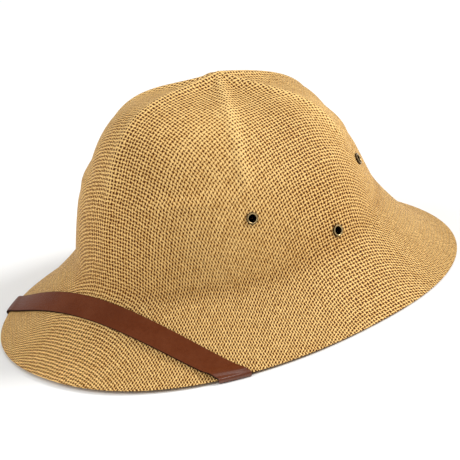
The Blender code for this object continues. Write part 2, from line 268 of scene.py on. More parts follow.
    def nearest_crest(self, theta: Array, radius: Array) -> Array:
        """How much of the nearest ridge's crest each point carries."""
        return np.max([self.crest(theta, radius, angle) for angle in self.ridges], axis=0)

    def upper_share(self, height: Array) -> Array:
        """0 below the upper ring, 1 where the ridges and panels are at their full depth."""
        low = self.ring_upper - self.ring_blend
        return ease(height, low, low + self.panel_fade)

    def relief(self, theta: Array, flat: Array) -> Array:
        """Depth of the moulding below the plain crown, negative where it stands proud.

        Args:
            theta: Angles from the front.
            flat: Points (radius, height) of the plain crown.

        Returns:
            Depths along the wall's normal.
        """
        radius, height = flat[..., 0], flat[..., 1]
        ends = (*self.ridges, FULL_TURN)
        panels = np.interp(np.degrees(theta) % FULL_TURN, ends, range(len(ends)))
        panel = np.sin(math.pi * panels) ** 2
        upper = self.upper_share(height)
        dish = self.panel_dish * panel * ease(radius, 0.0, self.dish_start)
        middle = 0.5 * (self.ring_lower + self.ring_upper)
        groove = ease(height, self.ring_lower, middle) - ease(height, middle, self.ring_upper)
        lower = self.foot_point(theta)[..., 1] + self.cove
        rib = ease(height - lower, 0.0, self.panel_fade) * (1.0 - upper)
        rib *= self.crest(theta, radius, self.ridges[0])
        depth = upper * (dish + self.ridge_height * (1.0 - self.nearest_crest(theta, radius)))
        return depth + self.ring_groove * groove - self.front_rib * rib

    def outer(self, theta: Array, station: Array) -> Array:
        """Outer surface of the shell in the hat's own frame.

        Args:
            theta: Angles from the front.
            station: Stations along the meridians.

        Returns:
            Points (x, y, z).
        """
        flat = self.plain(theta, station)
        along = self.plain(theta, np.minimum(station, 1.0) + self.short_step)
        along = unit(along - self.plain(theta, np.clip(station, 0.0, 1.0) - self.short_step))
        normal = np.stack([-along[..., 1], along[..., 0]], axis=-1)
        depth = np.where((station > 1.0) | (station < self.pole), 0.0, self.relief(theta, flat))
        flat = flat - normal * depth[..., None]
        set_back = self.apex_back * np.maximum(0.0, 1.0 - station) ** 2
        x = flat[..., 0] * np.sin(theta)
        y = set_back - flat[..., 0] * np.cos(theta)
        return np.stack([x, y, flat[..., 1]], axis=-1)

    def normal(self, theta: Array, station: Array) -> Array:
        """Outward normals of the moulded outer surface."""
        step = self.step
        station = np.maximum(station, step)
        down = self.outer(theta, station + step) - self.outer(theta, station - step)
        round_ = self.outer(theta + step, station) - self.outer(theta - step, station)
        return unit(np.cross(down, round_))

    def inner(self, theta: Array, station: Array) -> Array:
        """Inner surface of the shell, one wall's thickness below the outer one."""
        normal = self.normal(theta, station)
        normal[station < self.pole] = (0.0, 0.0, 1.0)
        return self.outer(theta, station) - normal * self.wall

    def inner_rim(self, theta: Array) -> Array:
        """Stations at which the inner surface comes down to the rim's level."""
        angles = np.linspace(-math.pi, math.pi, self.rim_angles)
        low, high = (np.full_like(angles, end) for end in self.rim_search)
        for _ in range(self.halvings):
            middle = 0.5 * (low + high)
            above = self.inner(angles, middle)[:, 2] > 0.0
            low, high = np.where(above, middle, low), np.where(above, high, middle)
        return np.interp(theta, angles, low)

    def brim_surface(self, plan: Array) -> Array:
        """Points of the brim's outer surface above points of the plan.

        Args:
            plan: Rows of points of which x and y count.

        Returns:
            The same points at the surface's height.
        """
        theta = np.arctan2(plan[..., 0], -plan[..., 1])
        radius = np.hypot(plan[..., 0], plan[..., 1])
        corner = self.foot_point(theta)[..., 0]
        share = (radius - corner) / (self.rim_radius(theta) - corner)
        start, end = self.cove_limits(theta)
        upper = self.crown_point(theta, start)[0][..., 0]
        lower = self.brim_point(theta, end)[..., 0]
        out = np.maximum(radius - upper, 0.0)
        lead = 2.0 * (corner - upper)
        root = np.sqrt(lead * lead + 4.0 * (upper - 2.0 * corner + lower) * out)
        in_cove = self.cove_point(theta, 2.0 * out / (lead + root))[..., 1]
        height = np.where(share >= end, self.brim_point(theta, share)[..., 1], in_cove)
        return np.stack([plan[..., 0], plan[..., 1], height], axis=-1)

    def brim_normal(self, plan: Array) -> Array:
        """Upward normals of the brim's outer surface above points of the plan."""
        across, along = (self.brim_surface(plan + step) - self.brim_surface(plan - step)
                         for step in self.plan_step * np.eye(3)[:2])
        return unit(np.cross(across, along))

    def seat(self) -> Matrix:
        """How the hat stands: leant back on the strap's folds, in the CAD's place."""
        turn = Matrix.Rotation(math.radians(self.stance), 4, "X")
        low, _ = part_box("shell")
        front = turn @ Vector((0.0, -self.brim[FRONT], 0.0))
        heel = turn @ Vector((0.0, self.brim[BACK], 0.0))
        return Matrix.Translation((0.0, low.y - front.y, low.z - heel.z)) @ turn


@dataclass(frozen=True)
class WeaveDrape:
    """How flat straw cloth lies over the block.

    The yarns that run down the middles of front, back and sides keep their spacing. Between them
    the cloth is pulled into diamonds, longest halfway round each quarter of the hat.
    """

    block: HelmetBlock
    yarn_across: float = 0.00235
    yarn_along: float = 0.00250
    steps: int = 500
    widest: float = 1.3

    def lay(self, theta: Array, station: Array) -> Array:
        """Cloth coordinates in yarns from the apex.

        Args:
            theta: Angles from the front.
            station: Stations along the meridians.

        Returns:
            Rows of yarn numbers across and along the hat.
        """
        grid = np.linspace(0.0, RIM, self.steps)
        distance, bearing = np.zeros_like(theta), np.zeros_like(theta)
        rounded = np.round(theta, 5)
        for angle in np.unique(rounded):
            here = rounded == angle
            rho, phi = self.meridian(float(angle), grid)
            distance[here] = np.interp(station[here], grid, rho)
            bearing[here] = np.interp(station[here], grid, phi)
        across = distance * np.sin(bearing) / self.yarn_across
        return np.stack([across, distance * np.cos(bearing) / self.yarn_along], axis=-1)

    def meridian(self, angle: float, grid: Array) -> tuple[Array, Array]:
        """Distance from the apex and bearing in the flat cloth, down one meridian.

        Args:
            angle: The meridian's angle from the front.
            grid: Rising stations from the apex.

        Returns:
            Distances and bearings at those stations.
        """
        flat = self.block.plain(np.full_like(grid, angle), grid)
        pace = np.linalg.norm(np.diff(flat, axis=0), axis=1)
        run = np.concatenate([[0.0], np.cumsum(pace)])
        narrow = np.concatenate([[1.0], flat[1:, 0] / run[1:]])
        slack = 1.0 - narrow
        pull = math.sin(2.0 * angle) ** 2
        rho = np.zeros_like(grid)
        for i, length in enumerate(pace):
            spread = narrow[i] * run[i] / max(rho[i], 1e-9) if i else 1.0
            side = min(spread / (1.0 - slack[i] * math.cos(4.0 * angle)), self.widest)
            rho[i + 1] = rho[i] + length / (1.0 + pull * (math.sqrt(2.0 - side * side) - 1.0))
        return rho, angle - slack * math.sin(4.0 * angle) / 4.0


def spin_round(sheet: BMesh, line: list[BMVert], closed: bool, steps: int, merge: float) -> None:
    """Spin a line of vertices once round the Z axis.

    Args:
        sheet: Mesh that holds the line.
        line: Vertices in order.
        closed: Whether the last one is joined to the first.
        steps: Vertices round the axis.
        merge: Distance within which vertices become one.
    """
    after = line[1:] + line[:1] if closed else line[1:]
    edges = [sheet.edges.new(pair) for pair in zip(line, after)]
    bmesh.ops.spin(sheet, geom=line + edges, cent=(0.0, 0.0, 0.0), axis=(0.0, 0.0, 1.0),
                   angle=math.tau, steps=steps, use_merge=True, use_duplicate=False)
    bmesh.ops.remove_doubles(sheet, verts=sheet.verts, dist=merge)


def spun_disc(sheet: BMesh, stations: Array, steps: int) -> tuple[Array, Array]:
    """Spin a line of stations into a flat disc.

    Args:
        sheet: Empty mesh that receives the disc.
        stations: Rising stations, the first one at the pole.
        steps: Vertices round the disc.

    Returns:
        The angle from the front and the station of every vertex.
    """
    layer = sheet.verts.layers.float.new("station")
    line = [sheet.verts.new((0.0, -float(i), 0.0)) for i in range(len(stations))]
    for vertex, station in zip(line, stations):
        vertex[layer] = station
    spin_round(sheet, line, False, steps, 1e-4)
    theta = np.array([math.atan2(vertex.co.x, -vertex.co.y) for vertex in sheet.verts])
    return theta, np.array([vertex[layer] for vertex in sheet.verts])


def meshed(sheet: BMesh, name: str) -> bpy.types.Mesh:
    """Turn a bmesh into mesh data and free it."""
    data = bpy.data.meshes.new(name)
    sheet.to_mesh(data)
    sheet.free()
    return data


def linked(name: str, data: bpy.types.ID) -> Object:
    """Put an object with this data into the scene."""
    made = bpy.data.objects.new(name, data)
    bpy.context.scene.collection.objects.link(made)
    return made


def finished(sheet: BMesh, placement: Matrix, name: str, surface: Material, slot: Slot,
             node: str) -> Object:
    """Turn a bmesh into a piece that stands for a CAD node.

    Args:
        sheet: The mesh, which is freed.
        placement: Where it goes in the row's frame.
        name: The piece's name.
        surface: Its material.
        slot: The record's slot; not used.
        node: The CAD node it replaces.

    Returns:
        The piece.
    """
    bmesh.ops.recalc_face_normals(sheet, faces=sheet.faces)
    bmesh.ops.transform(sheet, matrix=placement, verts=sheet.verts)
    for face in sheet.faces:
        face.smooth = True
    data = meshed(sheet, name)
    data.set_sharp_from_angle(angle=math.radians(SHARP_ANGLE))
    data.materials.append(surface)
    piece = linked(name, data)
    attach(piece, "root")
    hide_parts(node)
    LOG.info("%s: %d triangles", name, sum(len(face.vertices) - 2 for face in data.polygons))
    return piece


@dataclass
class NodeBench:
    """Places nodes in one tree and joins them up."""

    tree: NodeTree

    def node(self, kind: str, feeds: Feeds | None = None, **settings: object) -> Node:
        """Place a node.

        Args:
            kind: Blender's name of the node type.
            feeds: Values or sockets for its inputs.
            settings: Properties of the node.

        Returns:
            The node.
        """
        made = self.tree.nodes.new(kind)
        for key, value in settings.items():
            setattr(made, key, value)
        self.fill(made, feeds or {})
        return made

    def fill(self, node: Node, feeds: Feeds) -> None:
        """Join sockets to a node's inputs, or set the inputs' own values.

        Args:
            node: The node.
            feeds: Values or sockets for its inputs.
        """
        for key, value in feeds.items():
            if isinstance(value, NodeSocket):
                self.tree.links.new(value, node.inputs[key])
            else:
                node.inputs[key].default_value = value

    def math(self, operation: str, *values: object) -> NodeSocket:
        """Result of a Math node."""
        return self.node("ShaderNodeMath", dict(enumerate(values)), operation=operation).outputs[0]

    def times(self, value: object, factor: object, plus: object = 0.0) -> NodeSocket:
        """A value times a factor, plus another value."""
        return self.math("MULTIPLY_ADD", value, factor, plus)

    def spread(self, value: object, low: float, high: float, to_low: float = 0.0,
               to_high: float = 1.0) -> NodeSocket:
        """Map a range smoothly to another."""
        feeds = {0: value, 1: low, 2: high, 3: to_low, 4: to_high}
        return self.node("ShaderNodeMapRange", feeds, interpolation_type="SMOOTHSTEP").outputs[0]

    def noise(self, vector: object, scale: object, detail: float, roughness: float = 0.5,
              output: str = "Fac") -> NodeSocket:
        """Value or colour of a Noise Texture."""
        feeds = {"Vector": vector, "Scale": scale, "Detail": detail, "Roughness": roughness}
        return self.node("ShaderNodeTexNoise", feeds).outputs[output]

    def blend(self, share: object, first: object, second: object) -> NodeSocket:
        """Mix two colours."""
        feeds = {0: share, 6: first, 7: second}
        return self.node("ShaderNodeMix", feeds, data_type="RGBA").outputs[2]

    def join(self, x: object, y: object, z: object) -> NodeSocket:
        """A vector of three parts."""
        return self.node("ShaderNodeCombineXYZ", {0: x, 1: y, 2: z}).outputs[0]

    def place(self) -> NodeSocket:
        """The object's own coordinates."""
        return self.node("ShaderNodeTexCoord").outputs["Object"]

    def painted(self, name: str) -> NodeSocket:
        """A value painted on the mesh."""
        return self.node("ShaderNodeAttribute", attribute_name=name).outputs["Fac"]

    def bump(self, height: object, strength: float, distance: float) -> NodeSocket:
        """A normal tilted as a relief of this height tilts it."""
        feeds = {"Strength": strength, "Distance": distance, "Height": height}
        return self.node("ShaderNodeBump", feeds).outputs[0]

    def group(self, tree: NodeTree, feeds: Feeds) -> Node:
        """Place a node group."""
        return self.node("ShaderNodeGroup", feeds, node_tree=tree)


def new_group(name: str, inputs: Feeds, outputs: Feeds) -> tuple[NodeBench, Feeds, Node]:
    """Start a shader node group.

    Args:
        name: The group's name.
        inputs: Input names with a default number, or None for a vector.
        outputs: Output names in the same way.

    Returns:
        A bench on the group, its input sockets by name, and its output node.
    """
    tree = bpy.data.node_groups.new(name, "ShaderNodeTree")
    for way, sockets in (("INPUT", inputs), ("OUTPUT", outputs)):
        for key, value in sockets.items():
            kind = "NodeSocketVector" if value is None else "NodeSocketFloat"
            made = tree.interface.new_socket(key, in_out=way, socket_type=kind)
            if value is not None:
                made.default_value = value
    bench = NodeBench(tree)
    source = bench.node("NodeGroupInput")
    return bench, {key: source.outputs[key] for key in inputs}, bench.node("NodeGroupOutput")


@dataclass
class Effects:
    """Node groups that the finishes share. Lengths in the weave are counted in yarns."""

    yarn_edge: Pair = (0.60, 1.15)
    yarn_round: float = 0.42
    yarn_wave: float = 0.5
    wander_scale: float = 0.55
    wander: Triple = (0.8, 0.8, 0.0)
    uneven_scale: float = 0.9
    uneven: Pair = (0.5, 0.75)
    crossing_tone: float = 0.55
    yarn_tone: float = 0.45
    fibres_across: float = 9.0
    fibre_shift: float = 3.1
    yarn_seed: float = 0.37
    crossing_seed: float = 0.61
    fine_scale: float = 6.3
    fine_share: float = 0.4
    scuff_and_highlight_noise: float = 0.9
    scuff_and_highlight_range: Pair = (0.85, 1.35)

    def __post_init__(self) -> None:
        """Build every group once."""
        self.yarns = self.build_yarns()
        self.mottle = self.build_mottle()
        self.scuffs_and_highlight = self.build_scuffs_and_highlight()

    def yarn_body(self, bench: NodeBench, across: object, along: object, side: object,
                  width: object) -> tuple[NodeSocket, NodeSocket]:
        """Height and cover of one set of yarns.

        Args:
            bench: Where the nodes go.
            across: Place across the yarn, 0 in its middle.
            along: Place along the yarn, 0 at the crossing.
            side: 1 where this yarn passes over, -1 where it passes under.
            width: Width of a yarn as a share of the mesh.

        Returns:
            The yarn's height and its cover mask.
        """
        off = bench.math("DIVIDE", bench.times(bench.math("ABSOLUTE", across), 2.0), width)
        left = bench.math("SUBTRACT", 1.0, bench.times(off, off))
        round_ = bench.math("SQRT", bench.math("MAXIMUM", left, 0.0))
        wave = bench.times(bench.math("COSINE", bench.times(along, math.pi)), side)
        cover = bench.spread(off, *self.yarn_edge, 1.0, 0.0)
        height = bench.times(round_, self.yarn_round, bench.times(wave, self.yarn_wave))
        return bench.times(bench.math("ADD", height, 1.0), cover, -1.0), cover

    def build_yarns(self) -> NodeTree:
        """Plain weave of flat paper yarns, from cloth coordinates in yarns."""
        bench, given, out = new_group("woven_yarns", {"Cloth": None, "Width": 0.8},
                                      {"Height": 0.0, "Hole": 0.0, "Yarn": 0.0, "Fibre": None})
        cloth = given["Cloth"]
        wander = bench.noise(cloth, self.wander_scale, 2.0, output="Color")
        drift = bench.node("ShaderNodeVectorMath", {0: wander, 1: (-0.5, -0.5, -0.5)}, operation="ADD")
        moved = bench.node("ShaderNodeVectorMath", {0: drift.outputs[0], 1: self.wander, 2: cloth},
                           operation="MULTIPLY_ADD")
        uneven = bench.times(bench.noise(cloth, self.uneven_scale, 1.0), *self.uneven)
        width = bench.times(given["Width"], uneven)
        u, v, _ = bench.node("ShaderNodeSeparateXYZ", {0: moved.outputs[0]}).outputs
        cell_u, cell_v = bench.math("FLOOR", u), bench.math("FLOOR", v)
        off_u, off_v = (bench.math("SUBTRACT", bench.math("FRACT", part), 0.5) for part in (u, v))
        odd = bench.math("FLOORED_MODULO", bench.math("ADD", cell_u, cell_v), 2.0)
        over = bench.times(odd, 2.0, -1.0)
        warp, warp_cover = self.yarn_body(bench, off_u, off_v, over, width)
        weft, weft_cover = self.yarn_body(bench, off_v, off_u, bench.times(over, -1.0), width)
        top = bench.math("GREATER_THAN", warp, weft)
        bare = bench.times(bench.math("SUBTRACT", 1.0, warp_cover),
                           bench.math("SUBTRACT", 1.0, weft_cover))
        number, run, breadth = (
            bench.times(top, bench.math("SUBTRACT", on_warp, on_weft), on_weft)
            for on_warp, on_weft in ((cell_u, cell_v), (v, u), (u, v)))
        whole, part = (
            bench.node("ShaderNodeTexWhiteNoise", {"Vector": bench.join(*seed)},
                       noise_dimensions="3D").outputs["Value"]
            for seed in ((number, top, self.yarn_seed), (cell_u, cell_v, self.crossing_seed)))
        bench.fill(out, {
            "Height": bench.math("MAXIMUM", warp, weft),
            "Hole": bare,
            "Yarn": bench.times(part, self.crossing_tone, bench.times(whole, self.yarn_tone)),
            "Fibre": bench.join(bench.times(breadth, self.fibres_across), run,
                                bench.times(number, self.fibre_shift))})
        return bench.tree

    def build_mottle(self) -> NodeTree:
        """Uneven tone: broad clouds with finer ones on them."""
        bench, given, out = new_group("mottle", {"Vector": None, "Scale": 20.0}, {"Value": 0.0})
        broad = bench.noise(given["Vector"], given["Scale"], 3.0)
        fine = bench.noise(given["Vector"], bench.times(given["Scale"], self.fine_scale), 3.0, 0.6)
        value = bench.times(fine, self.fine_share, bench.times(broad, 1.0 - self.fine_share))
        bench.fill(out, {"Value": value})
        return bench.tree

    def build_scuffs_and_highlight(self) -> NodeTree:
        """Rubbed places and painted highlights: a painted mask broken up by noise."""
        bench, given, out = new_group("scuffs_and_highlight", {"Vector": None, "Mask": 0.0, "Scale": 300.0},
                                      {"Value": 0.0})
        broken = bench.noise(given["Vector"], given["Scale"], 4.0, 0.65)
        worn_and_highlight = bench.times(broken, self.scuff_and_highlight_noise, given["Mask"])
        bench.fill(out, {"Value": bench.spread(worn_and_highlight, *self.scuff_and_highlight_range)})
        return bench.tree


def start_material(name: str) -> tuple[Material, NodeBench, Node]:
    """A new material, its bench and its Principled shader."""
    made = bpy.data.materials.new(name)
    made.use_nodes = True
    return made, NodeBench(made.node_tree), made.node_tree.nodes["Principled BSDF"]


@dataclass(frozen=True)
class StrawFinish:
    """Pressed cloth of twisted paper straw."""

    pale: Colour = (0.96, 0.64, 0.25, 1.0)
    deep: Colour = (0.33, 0.125, 0.008, 1.0)
    # Colour of the gaps between yarns: a dark painted shade.
    hole: Colour = (0.070, 0.014, 0.0004, 1.0)
    width: float = 0.575
    packed: float = 0.73
    mottle_scale: float = 26.0
    # Yarn heights over which the colour goes from painted shade to painted light.
    lit_height: Pair = (-0.10, 0.86)
    yarn_share: float = 0.40
    fibre_share: float = 0.9
    mottle_share: float = 0.25
    darkening: float = -0.78
    # Share of the painted highlight and wear on the ridge crests.
    wear_and_highlight_share: float = 0.30
    # Share of the painted shade in the cove between crown and brim.
    cove_shade_share: float = 0.30
    fibre_rough: float = 0.3
    roughness: float = 0.43
    fibre_height: float = 0.25
    bump: Pair = (1.0, 0.0003)
    specular: float = 0.10

    def build(self, effects: Effects) -> Material:
        """Make the material.

        Args:
            effects: The shared node groups.

        Returns:
            The material.
        """
        made, bench, shader = start_material("paper_straw")
        cloth = bench.node("ShaderNodeUVMap", uv_map="cloth").outputs[0]
        width = bench.times(bench.painted("packing"), self.packed - self.width, self.width)
        yarns = bench.group(effects.yarns, {"Cloth": cloth, "Width": width}).outputs
        clouds = {"Vector": bench.place(), "Scale": self.mottle_scale}
        mottle = bench.group(effects.mottle, clouds).outputs[0]
        fibre = bench.noise(yarns["Fibre"], 1.0, 3.0, 0.6)
        # Painted light and shade of the weave's relief: yarn tops towards pale, the low parts between
        # yarns towards deep.
        light = bench.spread(yarns["Height"], *self.lit_height)
        tone = bench.times(mottle, self.mottle_share, self.darkening)
        tone = bench.times(fibre, self.fibre_share, tone)
        tone = bench.times(yarns["Yarn"], self.yarn_share, tone)
        # Ridge crests painted lighter: a painted highlight together with wear.
        tone = bench.times(bench.painted("wear_and_highlight"), self.wear_and_highlight_share, tone)
        share = bench.math("ADD", light, tone)
        share.node.use_clamp = True
        straw = bench.blend(share, self.deep, self.pale)
        # Painted shade: the colour goes towards deep in the cove between crown and brim.
        cove_shaded = bench.blend(bench.times(bench.painted("cove_shade"), self.cove_shade_share), straw, self.deep)
        relief = bench.times(fibre, self.fibre_height, yarns["Height"])
        # Base colour: the gaps between yarns take the dark hole colour, a painted shade.
        bench.fill(shader, {
            "Base Color": bench.blend(yarns["Hole"], cove_shaded, self.hole),
            "Roughness": bench.times(fibre, self.fibre_rough, self.roughness),
            "Normal": bench.bump(relief, *self.bump),
            "Specular IOR Level": self.specular})
        return made


@dataclass(frozen=True)
class LeatherFinish:
    """Smooth reddish-brown strap leather with dark cut edges."""

    face: Colour = (0.134, 0.030, 0.008, 1.0)
    # Paler leather: random patches, and a painted highlight with wear at the folds.
    worn_and_highlight: Colour = (0.235, 0.072, 0.030, 1.0)
    edge: Colour = (0.022, 0.009, 0.006, 1.0)
    mottle_scale: float = 60.0
    scuff_and_highlight_scale: float = 420.0
    pore_scale: float = 1500.0
    pore_edge: float = 0.22
    pore_share: float = 0.3
    cut_power: float = 2.5
    patches: tuple[float, ...] = (0.35, 0.68, 0.0, 0.28)
    # Share of the paler painted highlight with wear at the folds.
    wear_and_highlight_share: float = 0.5
    roughness: float = 0.26
    cut_rough: float = 0.3
    mottle_rough: float = 0.24
    mottle_height: float = 1.4
    bump: Pair = (0.35, 0.00012)
    specular: float = 0.04
    polish_roughness: float = 0.20
    polish_ior: float = 1.8

    def build(self, effects: Effects) -> Material:
        """Make the material.

        Args:
            effects: The shared node groups.

        Returns:
            The material.
        """
        made, bench, shader = start_material("strap_leather")
        place, fold = bench.place(), bench.painted("fold")
        cut = bench.math("POWER", bench.painted("cut"), self.cut_power)
        mottle = bench.group(effects.mottle, {"Vector": place, "Scale": self.mottle_scale}).outputs[0]
        scuffs_and_highlight = bench.group(effects.scuffs_and_highlight, {"Vector": place, "Mask": fold, "Scale": self.scuff_and_highlight_scale})
        cells = bench.node("ShaderNodeTexVoronoi", {"Vector": place, "Scale": self.pore_scale},
                           feature="DISTANCE_TO_EDGE")
        grain = bench.spread(cells.outputs["Distance"], 0.0, self.pore_edge)
        tone = bench.blend(bench.spread(mottle, *self.patches), self.face, self.worn_and_highlight)
        pores = bench.times(bench.math("SUBTRACT", 1.0, grain), self.pore_share)
        creased = bench.blend(pores, tone, self.edge)
        # Paler leather at the folds: a painted highlight together with wear.
        wear_and_highlight = bench.blend(bench.times(scuffs_and_highlight.outputs[0], self.wear_and_highlight_share), creased, self.worn_and_highlight)
        rough = bench.times(cut, self.cut_rough, self.roughness)
        bench.fill(shader, {
            "Base Color": bench.blend(cut, wear_and_highlight, self.edge),
            "Roughness": bench.times(mottle, self.mottle_rough, rough),
            "Coat Weight": fold,
            "Coat Roughness": self.polish_roughness,
            "Coat IOR": self.polish_ior,
            "Normal": bench.bump(bench.times(mottle, self.mottle_height, grain), *self.bump),
            "Specular IOR Level": self.specular})
        return made


@dataclass(frozen=True)
class BrassFinish:
    """Antiqued brass, dark in its corners and bright from wear on its rolled edge."""

    dark: Colour = (0.060, 0.034, 0.013, 1.0)
    bright: Colour = (0.45, 0.32, 0.15, 1.0)
    mottle_scale: float = 450.0
    scuff_and_highlight_scale: float = 1600.0
    roughness: float = 0.36
    mottle_rough: float = 0.3
    scuff_rough: float = -0.22
    bump: Pair = (0.3, 0.00008)

    def build(self, effects: Effects) -> Material:
        """Make the material.

        Args:
            effects: The shared node groups.

        Returns:
            The material.
        """
        made, bench, shader = start_material("antique_brass_metal")
        place, roll = bench.place(), bench.painted("roll")
        mottle = bench.group(effects.mottle, {"Vector": place, "Scale": self.mottle_scale}).outputs[0]
        scuffs_and_highlight = bench.group(effects.scuffs_and_highlight, {"Vector": place, "Mask": roll, "Scale": self.scuff_and_highlight_scale})
        rough = bench.times(mottle, self.mottle_rough, self.roughness)
        bench.fill(shader, {
            "Base Color": bench.blend(scuffs_and_highlight.outputs[0], self.dark, self.bright),
            "Roughness": bench.times(scuffs_and_highlight.outputs[0], self.scuff_rough, rough),
            "Normal": bench.bump(mottle, *self.bump),
            "Metallic": 1.0})
        return made


@dataclass
class Eyelets:
    """Six rolled brass eyelets through the crown's wall."""

    block: HelmetBlock
    places: tuple[tuple[str, float, float], ...] = (
        ("front", 55.6, 0.0775), ("middle", 90.0, 0.0510), ("back", 124.4, 0.0775))
    flange_radius: float = 0.0040
    barrel_radius: float = 0.0031
    bore_radius: float = 0.0026
    flange: float = 0.0009
    flange_flat: float = 0.38
    flange_roll: float = 0.62
    roll_steps: int = 10
    shine: float = 1.6
    shine_loss: float = 0.09
    gap: float = 0.0004
    steps: int = 48
    punch_steps: int = 40
    column: tuple[float, float, int] = (0.02, 1.0, 1500)

    def placed(self) -> Iterator[tuple[str, Matrix]]:
        """Name of each of the six and its placement, its own +Z out of the wall."""
        stations = np.linspace(*self.column)
        for side, (place, degrees, height) in itertools.product(Side, self.places):
            theta = np.full_like(stations, side.value * math.radians(degrees))
            column = self.block.outer(theta, stations)
            row = int(np.argmin(np.abs(column[:, 2] - height)))
            normal = Vector(self.block.normal(theta[row:row + 1], stations[row:row + 1])[0])
            facing = normal.to_track_quat("Z", "Y").to_matrix().to_4x4()
            placement = self.block.seat() @ Matrix.Translation(column[row]) @ facing
            yield f"eyelet_{side.name.lower()}_{place}", placement

    def outline(self) -> list[Triple]:
        """Section (radius, depth, share of wear) of the rolled edge, the barrel and the washer."""
        roll = 0.5 * (self.flange_radius - self.bore_radius)
        middle, under = self.bore_radius + roll, -self.block.wall - self.gap
        points = []
        for i in range(self.roll_steps + 1):
            turn = math.pi * i / self.roll_steps
            rise = self.flange_roll * self.flange * math.sin(turn)
            points.append((middle - roll * math.cos(turn),
                           self.gap + self.flange_flat * self.flange + rise,
                           self.shine * math.sin(turn) * (1.0 - self.shine_loss * i)))
        points += [(self.flange_radius, self.gap, 0.3), (self.barrel_radius, self.gap, 0.0),
                   (self.barrel_radius, under, 0.0), (self.flange_radius, under, 0.2),
                   (self.flange_radius, under - 0.3 * self.flange, 0.5),
                   (middle, under - 0.5 * self.flange, 0.6),
                   (self.bore_radius, under - 0.3 * self.flange, 0.4)]
        return points

    def build(self, surface: Material) -> None:
        """Spin and place all six.

        Args:
            surface: The brass.
        """
        for name, placement in self.placed():
            sheet = bmesh.new()
            layer = sheet.verts.layers.float.new("roll")
            ring = []
            for radius, depth, wear_and_highlight in self.outline():
                vertex = sheet.verts.new((radius, 0.0, depth))
                vertex[layer] = wear_and_highlight
                ring.append(vertex)
            spin_round(sheet, ring, True, self.steps, 1e-6)
            finished(sheet, placement, f"{name}_rolled", surface, Slot.BRASS, name)

    def punches(self) -> BMesh:
        """Cylinders that cut the eyelets' holes."""
        cutters = bmesh.new()
        radius = self.barrel_radius + self.gap
        for _, placement in self.placed():
            bmesh.ops.create_cone(cutters, cap_ends=True, segments=self.punch_steps, radius1=radius,
                                  radius2=radius, depth=6.0 * self.block.wall, matrix=placement)
        return cutters


